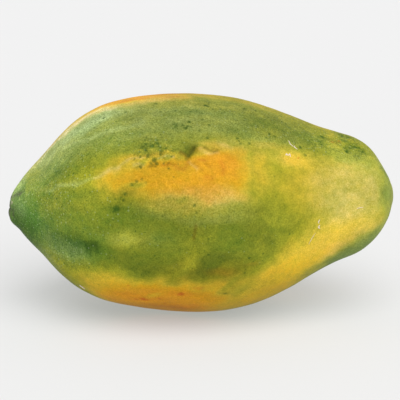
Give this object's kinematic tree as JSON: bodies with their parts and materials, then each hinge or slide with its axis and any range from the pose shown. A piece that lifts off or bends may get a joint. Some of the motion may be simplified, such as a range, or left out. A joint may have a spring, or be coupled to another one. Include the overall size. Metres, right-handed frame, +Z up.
{
  "type": "papaya",
  "caption": "Whole ripe papaya lying on its side, tapering to a pointed blossom end and a rounded stalk end, with ribbed green and golden skin.",
  "frame": {"origin": "bottom centre of the bounding box, on the surface that the fruit lies on", "axes": "+X along the fruit from the blossom end to the stalk end, +Z up from the flat spot that it rests on, -Y out of the side that faces a viewer with the blossom end on the left"},
  "size_m": [0.2394, 0.1344, 0.1349],
  "materials": {
    "skin": "satin"
  },
  "bodies": {
    "root": {"papaya": "skin"}
  },
  "joints": []
}
